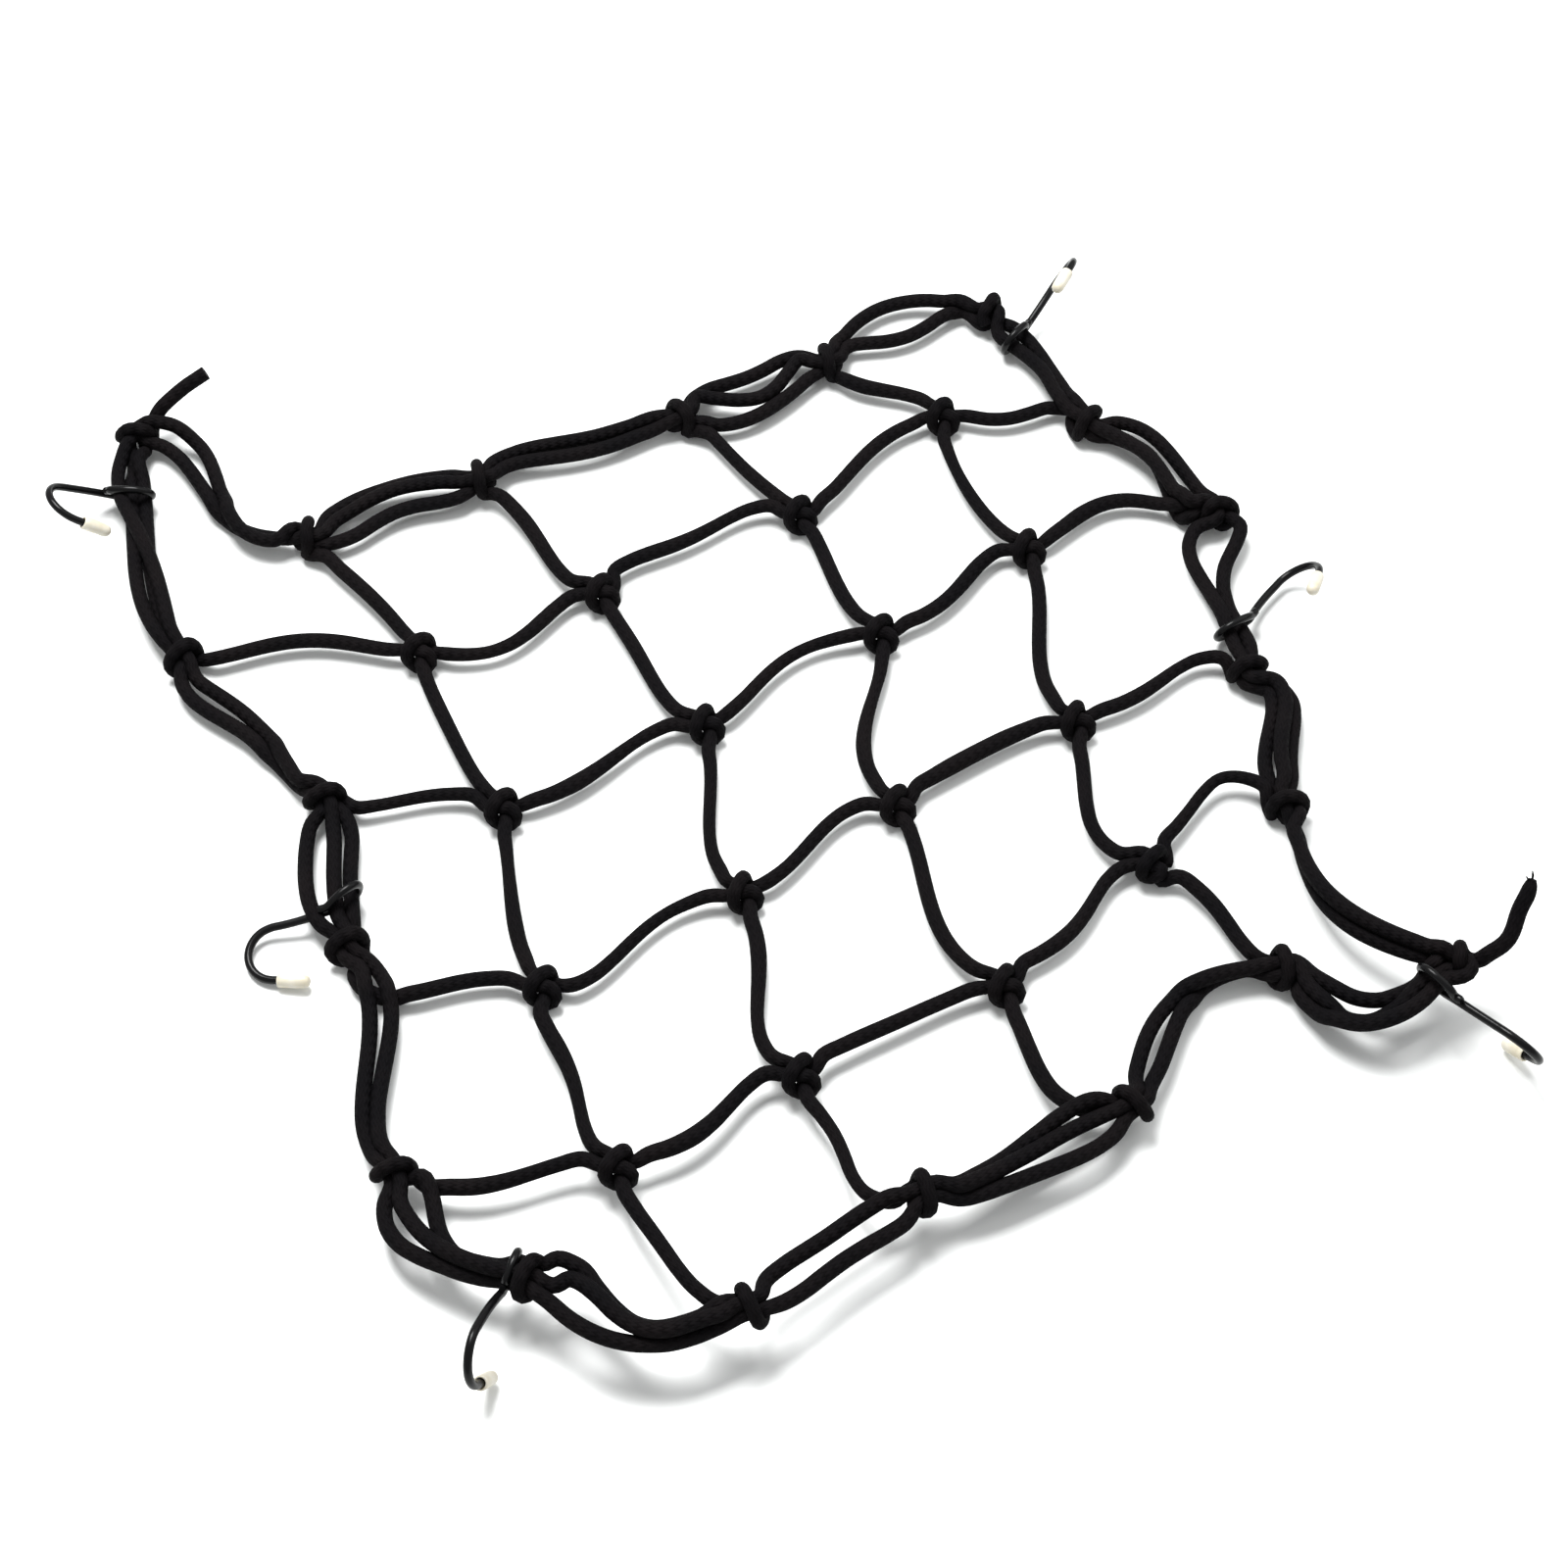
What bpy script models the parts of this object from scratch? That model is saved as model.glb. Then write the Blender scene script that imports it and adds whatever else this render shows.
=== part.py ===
"""An elastic luggage net, lying loose on a floor, with six wire hooks round its edge.

One mesh cord runs to and fro across the net and then up and down it, and is knotted
where it crosses itself. A second cord runs twice round the edge. Six hooks of coated
wire hold the edge cords in their eyes, and each has a soft cap on its point.

Metres, +Z up, the floor at z = 0. +X runs along the rows, from the left side to the
right, and +Y from the near side to the far one. Tables are in millimetres.
"""

from math import cos, pi, radians, sin

import bmesh
import bpy
import numpy as np

MM = 0.001
PITCH = 58.0  # from knot to knot along a row, as knotted
CORD = 5.0  # the braided elastic cord, across
KNOT = 12.0  # a knot, across
WIRE = 2.5  # the hooks' wire with its coating, across
CAP = 4.2  # the soft cap on a hook's point, across
GAP = 0.3  # between pieces that touch
SHANK = 17.0  # a hook from its eye to its bend
BEND = 8.3  # the radius of a hook's bend, at the middle of its wire
POINT = 2.0  # the bare wire after the bend, up to the cap
FLARE = 20.0  # how far the point turns away from the shank, in degrees
CAP_LENGTH = 9.5
CAP_BORE = 7.0  # how far the wire goes into its cap
STRAND_SPREAD = 1.4  # between the strands of the edge where a knot draws them together
GATHERED = 13.0  # how far from a knot's middle the strands are still drawn together
NET_CENTRE = (4.3, 13.2)  # where the middle of the whole lies, from the middle of the even grid

# Where each knot lies: (to the right, to the far side, height of its middle), the first two
# counted from its place in an even grid. A line for each row of knots, from the far side,
# and the knots of a row from the left.
KNOTS = (
    ((7, 56, 5), (-14, -5, 5), (-15, -6, 6), (-4, -8, 5), (-9, -6, 5), (-9, -9, 5)),
    ((-7, 24, 5), (2, -3, 5), (3, -5, 5), (14, -2, 5), (15, 16, 5), (-1, -7, 5)),
    ((15, 15, 5), (4, -9, 5), (12, -6, 5), (17, 3, 5), (15, 14, 5), (19, 1, 5)),
    ((4, 23, 5), (-8, -12, 5), (-2, -7, 5), (-6, 2, 5), (-2, 7, 5), (-3, 1, 5)),
    ((-9, 6, 8), (-11, -17, 9), (-12, -11, 7), (-5, -8, 5), (-5, 10, 5), (-17, 11, 5)),
    ((12, 17, 16), (3, -16, 18), (2, -4, 14), (9, -1, 8), (12, 21, 5), (-6, -2, 16)),
)

# How a cord lies between two knots: (bow at a quarter, at half, at three quarters, lift).
# A bow is how far it lies to the left of the straight line, and the lift is how far its
# middle is above it. A line for each row of the mesh, its legs from the left side.
ROW_LEGS = (
    ((1, 5, 2, 0), (-8, -8, 0, 0), (6, 7, 9, 1), (1, 5, 6, 0), (0, 1, 5, 1)),
    ((-2, 2, 4, 1), (-1, 1, 4, 0), (1, 6, 7, 1), (-3, -1, 4, 0), (7, 13, 8, 1)),
    ((-13, -8, -1, 0), (-4, 1, 5, 1), (0, 3, 5, 0), (4, 5, 5, 1), (1, 5, 10, 1)),
    ((-4, -2, 1, 1), (-2, 0, 5, 1), (3, 4, 3, 1), (0, 0, 4, 0), (7, 13, 17, 3)),
)

# The same, with a line for each column of the mesh, its legs from the far side.
COLUMN_LEGS = (
    ((1, 2, 1, 0), (-2, -2, -2, 1), (-2, -3, -3, 0), (-3, -2, -4, 1), (-4, -5, -6, 1)),
    ((1, -1, -4, 1), (-2, -4, -4, 0), (0, -3, -5, 1), (0, -3, -6, 0), (-4, -7, -10, 1)),
    ((2, 2, 1, 0), (1, -1, -2, 1), (-2, -6, -7, 0), (-1, -4, -5, 1), (-5, -10, -11, 1)),
    ((-3, -2, 2, 1), (-4, -5, -5, 0), (1, -3, -5, 1), (-4, -8, -10, 1), (2, 1, -2, 1)),
)

# The same for the strands of the edge: two rounds of the edge cord, and a third strand
# where the mesh cord runs along the edge. A line for each stretch between two knots.
SIDES = {
    "far": (
        ((10, 1, -7, 2), (-1, -7, -11, 0)),
        ((7, 9, 8, 3), (3, 4, 4, 2), (-5, -3, -2, 0)),
        ((6, 4, 3, 2), (1, -2, -2, 0)),
        ((7, 8, 7, 2), (2, -4, 1, 1), (-8, -9, -6, 0)),
        ((13, 17, 12, 2), (5, 2, 5, 0)),
    ),
    "right": (
        ((2, 1, 0, 3), (-3, -3, -4, 3)),
        ((9, 8, 4, 1), (3, 2, -1, 1), (-2, -3, -5, 0)),
        ((1, -3, 1, 2), (-11, -7, -3, 2)),
        ((11, 9, 5, 1), (6, 4, 1, 3), (0, -2, -4, 0)),
        ((-4, -8, -2, 0), (-8, -12, -6, 0)),
    ),
    "near": (
        ((3, -6, -4, 3), (-2, -11, -8, 1), (-10, -15, -12, 0)),
        ((7, 7, 5, 2), (-4, -3, -2, 0)),
        ((1, 6, 6, 2), (-2, 1, 1, 0), (-6, -7, -6, -1)),
        ((9, 14, 13, 1), (3, 8, 9, 0)),
        ((-6, -10, -6, 1), (-9, -15, -10, 3), (-12, -19, -13, 0)),
    ),
    "left": (
        ((-7, -6, -4, 4), (-5, -9, -9, 5), (-2, -5, -5, 3)),
        ((-7, -4, -3, 0), (-1, 2, 1, 1)),
        ((-7, -9, -7, 4), (1, 0, -1, 2), (6, 5, 3, 2)),
        ((4, -1, -4, 0), (9, 5, 0, 1)),
        ((-13, -12, -7, 0), (-7, -7, -4, 2), (2, -3, -2, 1)),
    ),
}

# The knots of each side, as (row, column), in the order of its stretches.
SIDE_KNOTS = {
    "far": [(0, i) for i in range(6)],
    "right": [(i, 5) for i in range(6)],
    "near": [(5, i) for i in range(6)],
    "left": [(i, 0) for i in range(6)],
}

# The stretch of each side that ends in a corner knot, and which knot that is.
CORNERS = {("far", 0): (0, 0), ("far", 4): (0, 5), ("right", 4): (5, 5), ("near", 0): (5, 0)}

# The mesh cord's two free ends: (corner, run to the right, run to the far side, rise, bow).
TAILS = {"tail_far": ((0, 0), 27.4, 6.2, 12, 2), "tail_near": ((5, 5), 22.6, 4.1, 22.4, -6)}

# The hooks: (side, stretch, how far along it, bow, height of the eye's middle, half length and
# half height of the eye, its turn in degrees, its lean to the near side from 0 to 1, then the
# turn, rise and roll of the shank and point in degrees, and the shank's bow to the point).
HOOKS = {
    "hook_1": ("left", 0, 0.261, -4.6, 7, 6.1, 4.8, 153, 0.68, 189, 43, -1, -0.1),
    "hook_2": ("left", 2, 0.711, 2.5, 8.0, 4.5, 4.8, 198, 0.36, 169, -9, -6, 0.4),
    "hook_3": ("left", 4, 0.894, -0.4, 14.5, 4.5, 5.1, 227, 0.76, 226, 34, -78, -0.7),
    "hook_4": ("right", 0, 0.254, -0.2, 6.1, 4.7, 4.8, 27, 0.61, 31, 17, 114, 1.0),
    "hook_5": ("right", 2, 0.751, -3.3, 6.3, 5.0, 4.5, 8, 0.53, 31, -4, 135, -0.9),
    "hook_6": ("near", 4, 0.872, -7.4, 18.1, 5.4, 5.0, 287, 0.77, 286, 16, -65, 0.1),
}
UPRIGHT, LEANING = (0.0, 0.0, 1.0), (-0.23, -0.51, 0.83)
# The eye from its lapped end over the cords and back below them to the shank, in half
# lengths and half heights.
EYE = (
    (1.1, 0.72), (0.6, 0.92), (0.0, 1.0), (-0.5, 0.87), (-0.87, 0.5), (-1.0, 0.0),
    (-0.87, -0.5), (-0.5, -0.87), (0.0, -1.0), (0.6, -0.88), (1.1, -0.56), (1.5, -0.25),
)

QUARTERS = (0.0, 0.25, 0.5, 0.75, 1.0)
SIX_SIDES = [radians(-120 + 60 * i) for i in range(6)]
ROUND = CORD / 2 / cos(pi / 6) ** 0.5  # a six-sided tube with the round cord's section
WIRE_ROUND = WIRE / 2 / cos(pi / 6) ** 0.5
# A knot's outline along its cord: (distance from its middle, radius).
BARREL = ((0.0, KNOT / 2), (3.2, 0.97 * KNOT / 2), (6.8, ROUND))

CORD_COLOUR = (0.012, 0.011, 0.012, 1)
WIRE_COLOUR = (0.010, 0.010, 0.011, 1)
CAP_COLOUR = (0.62, 0.60, 0.52, 1)

built = []  # (name, strands) of every node so far


def knot_place(row, column):
    right, away, height = KNOTS[row][column]
    x = (column - 2.5) * PITCH + right - NET_CENTRE[0]
    y = (2.5 - row) * PITCH + away - NET_CENTRE[1]
    return np.array([x, y, height])


def leg(start, end, shape, spread=None):
    """A fine line between two knots: the straight run, a smooth wave through the bows, and a hump."""
    first, last = knot_place(*start), knot_place(*end)
    run = last - first
    left = np.array([-run[1], run[0], 0.0]) / np.hypot(run[0], run[1])
    wave = np.polyfit(QUARTERS, (0, *shape[:3], 0), 4)
    s = np.linspace(0, 1, 61)
    bows = np.polyval(wave, s)
    if spread is not None:  # a strand of the edge keeps close to the others at the knots
        nearest = np.minimum(s, 1 - s) * np.linalg.norm(run) / GATHERED
        nearest = np.minimum(nearest, 1)
        bows = spread + bows * nearest**2 * (3 - 2 * nearest)
    across = np.outer(bows, left)
    up = np.outer(4 * shape[3] * s * (1 - s), (0, 0, 1))
    return first + np.outer(s, run) + across + up


def gone_along(line):
    """How far each point of a line is along it."""
    return np.append(0, np.cumsum(np.linalg.norm(np.diff(line, axis=0), axis=1)))


def walk(line, distances):
    """The points at some distances along a line, which goes straight on past its ends."""
    gone = gone_along(line)
    points = np.stack([np.interp(distances, gone, line[:, k]) for k in range(3)], axis=1)
    before, after = np.minimum(distances, 0), np.maximum(distances - gone[-1], 0)
    start, end = line[1] - line[0], line[-1] - line[-2]
    points += np.outer(before, start / np.linalg.norm(start))
    return points + np.outer(after, end / np.linalg.norm(end))


def knotted_cord(knots, shapes, knotted, steps, spread=None):
    """A cord through some knots, as (points, radii), with a barrel round each knot in knotted."""
    points, radii = [], []
    for n, (start, end, shape) in enumerate(zip(knots, knots[1:], shapes)):
        line = leg(start, end, shape, spread)
        length = gone_along(line)[-1]
        first = BARREL if start in knotted else ((0.0, ROUND),)
        last = BARREL if end in knotted else ((0.0, ROUND),)
        rings = list(first[min(n, 1) :])
        between = np.linspace(first[-1][0], length - last[-1][0], steps + 2)[1:-1]
        rings += [(d, ROUND) for d in between]
        rings += [(length - d, r) for d, r in reversed(last)]
        if n == 0:
            rings = [(-d, r) for d, r in reversed(first[1:-1])] + rings
        if n == len(shapes) - 1:
            rings += [(length + d, r) for d, r in last[1:-1]]
        distances, widths = zip(*rings)
        points.extend(walk(line, np.array(distances)))
        radii.extend(widths)
    return np.array(points), np.array(radii)


def barrel(row, column, towards):
    """A knot by itself, as (points, radii), lying along the line towards another place."""
    middle = knot_place(row, column)
    along = np.array([towards[0] - middle[0], towards[1] - middle[1], 0.0])
    along /= np.linalg.norm(along)
    half = [(d, r) for d, r in BARREL[:-1]]
    stations = [(-d, r) for d, r in reversed(half[1:])] + half
    return middle + np.outer([d for d, _ in stations], along), np.array([r for _, r in stations])


def tube(name, points, radii, sides=SIX_SIDES, extra=0.0):
    """A closed tube: a ring square to the path at each point, turned as little as it can be."""
    points = np.array(points, float)
    along = np.gradient(points, axis=0)
    along /= np.linalg.norm(along, axis=1, keepdims=True)
    points[0] -= extra * along[0]
    points[-1] += extra * along[-1]
    across = np.cross(along, (0, 0, 1))
    for i in range(1, len(across)):
        if abs(along[:, 2]).max() > 0.8:  # a hook's wire, which also goes straight up
            across[i] = across[i - 1] - (across[i - 1] @ along[i]) * along[i]
    across /= np.linalg.norm(across, axis=1, keepdims=True)
    above = np.cross(across, along)
    turn = np.array(sides)
    rays = np.cos(turn)[None, :, None] * across[:, None] + np.sin(turn)[None, :, None] * above[:, None]
    rings = points[:, None] + (np.asarray(radii)[:, None, None] + extra) * rays
    rings[..., 2] = np.maximum(rings[..., 2], -extra)
    return solid(name, rings)


def solid(name, rings):
    """A mesh object from rings of points, closed at both ends."""
    rows, count = rings.shape[:2]
    index = np.arange(rows * count).reshape(rows, count)
    following = np.roll(index, -1, axis=1)
    quads = np.stack([index[:-1], index[1:], following[1:], following[:-1]], axis=-1)
    faces = quads.reshape(-1, 4).tolist() + [index[0].tolist(), index[-1][::-1].tolist()]
    mesh = bpy.data.meshes.new(name)
    mesh.from_pydata((rings.reshape(-1, 3) * MM).tolist(), [], faces)
    mesh.validate()
    mesh.shade_smooth()
    mesh.set_sharp_from_angle(angle=radians(50))
    piece = bpy.data.objects.new(name, mesh)
    bpy.context.scene.collection.objects.link(piece)
    return piece


def boolean(piece, other, operation):
    """Joins a helper to a piece, or cuts it away, and then removes the helper."""
    step = piece.modifiers.new(other.name, "BOOLEAN")
    step.operation = operation
    step.object = other
    graph = bpy.context.evaluated_depsgraph_get()
    joined = bpy.data.meshes.new_from_object(piece.evaluated_get(graph))
    piece.modifiers.clear()
    piece.data = joined
    bpy.data.objects.remove(other, do_unlink=True)


def drop_crumbs(piece):
    """Keeps a piece's largest body, without the crumbs that a cut can leave beside it."""
    shape = bmesh.new()
    shape.from_mesh(piece.data)
    left, bodies = set(shape.verts), []
    while left:
        body, edge = set(), {left.pop()}
        while edge:
            body |= edge
            edge = {e.other_vert(v) for v in edge for e in v.link_edges} - body
        left -= body
        bodies.append(body)
    largest = max(bodies, key=len)
    crumbs = [v for v in shape.verts if v not in largest]
    bmesh.ops.delete(shape, geom=crumbs, context="VERTS")
    shape.to_mesh(piece.data)
    shape.free()


def reach(strand, extra):
    points, radii = strand
    return points.min(axis=0) - radii.max() - extra, points.max(axis=0) + radii.max() + extra


def touching(strand, other):
    low, high = reach(strand, GAP)
    other_low, other_high = reach(other, GAP)
    return bool((low < other_high).all() and (other_low < high).all())


def node(name, strands, material):
    """One piece made of some tubes joined together, less all that was built before it, with a gap."""
    piece = tube(name, *strands[0])
    for n, strand in enumerate(strands[1:]):
        boolean(piece, tube(f"{name}_strand_{n + 2}", *strand), "UNION")
    for other_name, others in built:
        for n, other in enumerate(others):
            if any(touching(strand, other) for strand in strands):
                boolean(piece, tube(f"{name}_less_{other_name}_{n + 1}", *other, extra=GAP), "DIFFERENCE")
    drop_crumbs(piece)
    piece.data.name = name
    piece.data.materials.append(material)
    piece.parent = net
    built.append((name, strands))


def finish(name, colour, roughness):
    material = bpy.data.materials.new(name)
    material.use_nodes = True
    shader = material.node_tree.nodes["Principled BSDF"]
    shader.inputs["Base Color"].default_value = colour
    shader.inputs["Roughness"].default_value = roughness
    shader.inputs["Metallic"].default_value = 0.0
    return material


def hook_axes(turn, rise, roll):
    """A hook's own axes: along its shank, towards its point, and square to both."""
    turn, rise, roll = radians(turn), radians(rise), radians(roll)
    along = np.array([cos(rise) * cos(turn), cos(rise) * sin(turn), sin(rise)])
    level = np.array([-sin(turn), cos(turn), 0.0])
    side = cos(roll) * level + sin(roll) * np.cross(along, level)
    return along, side


def hook_wire(
    side, stretch, fraction, bow, height, half_length, half_height, eye_turn, lean, turn, rise, roll, sway
):
    """The middle of a hook's wire: its eye round the edge cords, shank, bend and point."""
    start, end = SIDE_KNOTS[side][stretch], SIDE_KNOTS[side][stretch + 1]
    first, last = knot_place(*start), knot_place(*end)
    run = (last - first)[:2]
    run /= np.linalg.norm(run)
    left = np.array([-run[1], run[0], 0.0])
    middle = first + fraction * (last - first) + bow * left
    middle[2] = height
    out = np.array([cos(radians(eye_turn)), sin(radians(eye_turn)), 0.0])
    up = lean * np.array(LEANING) + (1 - lean) * np.array(UPRIGHT)
    up -= (up @ out) * out
    up /= np.linalg.norm(up)
    eye = [middle + u * half_length * out + v * half_height * up for u, v in EYE]
    root = eye[-1]
    along, aside = hook_axes(turn, rise, roll)
    lap = up - (up @ along) * along
    over = root + (WIRE + GAP + 0.2) * lap / np.linalg.norm(lap)
    parts = np.linspace(0.12, 1, 5)
    shank = [root + SHANK * s * along + sway * sin(pi * s) * aside for s in parts]
    centre = root + SHANK * along + BEND * aside
    bend = [
        centre + BEND * (sin(a) * along - cos(a) * aside)
        for a in np.linspace(radians(25), radians(180 - FLARE), 8)
    ]
    back = -cos(radians(FLARE)) * along + sin(radians(FLARE)) * aside
    point = [bend[-1] + d * back for d in (POINT / 2, POINT, POINT + CAP_BORE - GAP)]
    return np.array([over + 2.5 * along, over] + eye + shank + bend + point), back


def cap(name, wire, back, material):
    """A soft cap: a bore that takes the wire with a gap, inside a turned outside with a round end."""
    mouth = wire[-1] - back * (CAP_BORE - GAP)
    bore, outer = WIRE / 2 + GAP + 0.1, CAP / 2
    profile = (
        (CAP_BORE, bore),
        (0.0, bore),
        (0.0, outer),
        (CAP_LENGTH - 1.6, outer),
        (CAP_LENGTH - 0.5, 0.75 * outer),
        (CAP_LENGTH, 0.35 * outer),
    )
    across = np.cross(back, (0, 0, 1))
    across /= np.linalg.norm(across)
    above = np.cross(across, back)
    turn = np.radians(np.arange(0, 360, 45))
    ray = np.cos(turn)[:, None] * across + np.sin(turn)[:, None] * above
    rings = np.array([mouth + back * d + r * ray for d, r in profile])
    piece = solid(name, rings)
    piece.data.materials.append(material)
    piece.parent = net
    built.append((name, [(np.array([mouth, mouth + back * CAP_LENGTH]), np.array([outer, outer]))]))


for old in list(bpy.data.objects):
    bpy.data.objects.remove(old, do_unlink=True)

net = bpy.data.objects.new("net", None)
bpy.context.scene.collection.objects.link(net)
cord_finish = finish("braided elastic cord", CORD_COLOUR, 0.85)
wire_finish = finish("coated hook wire", WIRE_COLOUR, 0.35)
cap_finish = finish("soft vinyl cap", CAP_COLOUR, 0.45)

# The hooks come first, because the cords give way to them.
for name, place in HOOKS.items():
    wire, back = hook_wire(*place)
    node(name, [(wire, np.full(len(wire), WIRE_ROUND))], wire_finish)
    cap(name.replace("hook", "cap"), wire, back, cap_finish)

# Each row of the mesh is one cord with its six knots.
for row in range(1, 5):
    knots = [(row, column) for column in range(6)]
    strand = knotted_cord(knots, ROW_LEGS[row - 1], knots, 4)
    node(f"row_{row}", [strand], cord_finish)

# Each column is cut by the rows' knots into five legs. The end legs have the edge's knots.
for column in range(1, 5):
    for row in range(5):
        ends = [(row, column), (row + 1, column)]
        on_edge = [knot for knot in ends if knot[0] in (0, 5)]
        strand = knotted_cord(ends, [COLUMN_LEGS[column - 1][row]], on_edge, 5)
        node(f"column_{column}_leg_{row + 1}", [strand], cord_finish)

# Each stretch of the edge is its two or three strands, and the corner knot where it has one.
for side, stretches in SIDES.items():
    for n, shapes in enumerate(stretches):
        ends = SIDE_KNOTS[side][n : n + 2]
        leftmost_first = sorted(shapes, key=lambda shape: -shape[1])
        spreads = STRAND_SPREAD * (np.arange(len(shapes))[::-1] - (len(shapes) - 1) / 2)
        strands = [
            knotted_cord(ends, [shape], [], 4, spread) for shape, spread in zip(leftmost_first, spreads)
        ]
        corner = CORNERS.get((side, n))
        if corner:
            other = ends[0] if corner == ends[1] else ends[1]
            strands.append(barrel(*corner, knot_place(*other)))
        node(f"edge_{side}_{n + 1}", strands, cord_finish)

# The mesh cord's free ends stick out of two corner knots and rise a little.
for name, (corner, right, away, rise, bow) in TAILS.items():
    run = np.array([right, away, rise], float)
    left = np.array([-away, right, 0.0]) / np.hypot(right, away)
    s = np.linspace(0, 1, 8)
    path = knot_place(*corner) + np.outer(s, run) + np.outer(4 * bow * s * (1 - s), left)
    node(name, [(path, np.full(len(s), ROUND))], cord_finish)
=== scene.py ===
from math import cos, pi, radians, sin

import bpy
import numpy as np
from mathutils import Matrix, Vector


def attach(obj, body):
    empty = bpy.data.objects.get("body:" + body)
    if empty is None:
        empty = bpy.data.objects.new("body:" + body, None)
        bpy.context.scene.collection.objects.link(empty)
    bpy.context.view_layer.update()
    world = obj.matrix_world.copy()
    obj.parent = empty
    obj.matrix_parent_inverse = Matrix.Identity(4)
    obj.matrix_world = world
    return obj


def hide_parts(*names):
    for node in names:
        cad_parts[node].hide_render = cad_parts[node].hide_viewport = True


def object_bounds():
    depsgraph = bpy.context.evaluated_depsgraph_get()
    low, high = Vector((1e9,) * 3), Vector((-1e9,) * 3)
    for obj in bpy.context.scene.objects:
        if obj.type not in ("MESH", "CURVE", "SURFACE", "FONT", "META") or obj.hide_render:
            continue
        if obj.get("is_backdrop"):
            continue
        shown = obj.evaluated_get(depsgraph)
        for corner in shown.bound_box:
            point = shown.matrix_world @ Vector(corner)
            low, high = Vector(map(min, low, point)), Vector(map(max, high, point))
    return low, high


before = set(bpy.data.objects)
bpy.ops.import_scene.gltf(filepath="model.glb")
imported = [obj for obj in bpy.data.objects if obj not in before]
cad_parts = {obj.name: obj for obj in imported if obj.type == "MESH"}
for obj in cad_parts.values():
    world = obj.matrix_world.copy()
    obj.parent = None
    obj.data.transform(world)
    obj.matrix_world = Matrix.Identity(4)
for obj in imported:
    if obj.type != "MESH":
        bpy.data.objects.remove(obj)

cad_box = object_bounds()

# The camera stands high over the near left side of the net, level, and looks down on it
# at 56 degrees through a lens of 67.5 mm, so nearer knots are drawn a fifth larger.
SWING, DIP, AWAY = radians(-24.5), radians(56), 0.878
looked_at = Vector((-0.0068, -0.0172, 0.0))
backwards = Vector((sin(SWING) * cos(DIP), -cos(SWING) * cos(DIP), sin(DIP)))
rightwards = Vector((0, 0, 1)).cross(backwards).normalized()
upwards = backwards.cross(rightwards)
camera = bpy.data.objects.new("camera", bpy.data.cameras.new("camera"))
camera.data.lens = 67.5
camera.data.sensor_width = 36.0
camera.data.clip_start = 0.01
camera.matrix_world = Matrix.Translation(looked_at + AWAY * backwards) @ Matrix(
    (rightwards, upwards, backwards)
).transposed().to_4x4()
bpy.context.scene.collection.objects.link(camera)
bpy.context.scene.camera = camera

# The net is tied by hand from one mesh cord and one edge cord of braided elastic, 5 mm
# across. The mesh cord runs to and fro, then up and down, and has a knot where it
# meets itself or the edge. The edge cord runs twice round the outside.
MM = 0.001  # the sizes of all pieces are given in mm
PITCH = 58.0  # from knot to knot, before the net was thrown down
NET_CENTRE = (4.3, 13.2)  # the middle of the whole, from the middle of an even grid
KNOTTED = 4.0  # across, where a knot pulls on it
BESIDE_KNOT = 4.4  # across, just outside a knot
FREE_END = 4.7  # across, in the free ends
TIGHT = 0.86  # how far each knot has been pulled together
LEG_STEP = 7.0  # along a leg, from one point of its way to the next
RING_STEP = 1.3  # along the cords, from one ring of the mesh to the next

# Where each knot lies: (to the right, to the far side, height) from its place in an even
# grid. A line for each row of knots from the far side, and a row's knots from the left.
KNOTS = (
    ((7, 56, 6), (-14, -5, 6), (-15, -6, 7), (-4, -8, 6), (-9, -6, 6), (-9, -9, 6)),
    ((-7, 24, 6), (2, -3, 6), (3, -5, 6), (14, -2, 6), (15, 16, 6), (-1, -7, 6)),
    ((15, 15, 6), (4, -9, 6), (12, -6, 6), (17, 3, 6), (15, 14, 6), (19, 1, 6)),
    ((4, 23, 6), (-8, -12, 6), (-2, -7, 6), (-6, 2, 6), (-2, 7, 6), (-3, 1, 6)),
    ((-9, 6, 9), (-11, -17, 10), (-12, -11, 8), (-5, -8, 6), (-5, 10, 6), (-17, 11, 6)),
    ((12, 17, 17), (3, -16, 19), (2, -4, 15), (9, -1, 9), (12, 21, 6), (-6, -2, 17)),
)

# How the cord lies between two knots: (bow at a quarter, at half, at three quarters, lift).
# A bow is how far it lies to the left of a straight line, and the lift how much higher.
ROW_LEGS = (
    ((2, 5.5, 3, 0), (-7.5, -7.5, -0.5, 0), (7, 6.5, 8.5, 1), (0, 3.5, 4.5, 0), (0, 1, 6.5, 1)),
    ((-1.5, 2, 4, 1), (-2.5, 0, 4, 0), (1.5, 6.5, 6, 1), (-2.5, -1, 3.5, 0), (6.5, 12, 7, 1)),
    ((-13, -7.5, -1, 0), (-4, 1.5, 4, 1), (-1, 3, 6, 0), (3, 4, 4, 1), (1, 4.5, 9, 1)),
    ((-4.5, -3.5, 1, 1), (-2.5, -1.5, 3.5, 1), (2.5, 2.5, 2.5, 1), (0, 0, 4.5, 0), (7.5, 13.5, 16.5, 3)),
)
COLUMN_LEGS = (
    ((0, 1, 1, 0), (-2.5, -3, -3, 1), (-1.5, -3, -3.5, 0), (-3, -2, -4, 1), (-4.5, -6, -7, 1)),
    ((1, -1, -4, 1), (-1.5, -3, -4.5, 0), (-0.5, -3.5, -5.5, 1), (0.5, -3, -7, 0), (-4, -7, -11.5, 1)),
    ((2, 0.5, 0, 0), (0, -2, -3, 1), (-1, -6, -7.5, 0), (-1.5, -6, -7.5, 1), (-5.5, -11, -12.5, 1)),
    ((-3, -0.5, 2.5, 1), (-4.5, -6, -5, 0), (0.5, -3, -5.5, 1), (-3.5, -8.5, -10.5, 1), (3, 1.5, -2, 1)),
)

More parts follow.
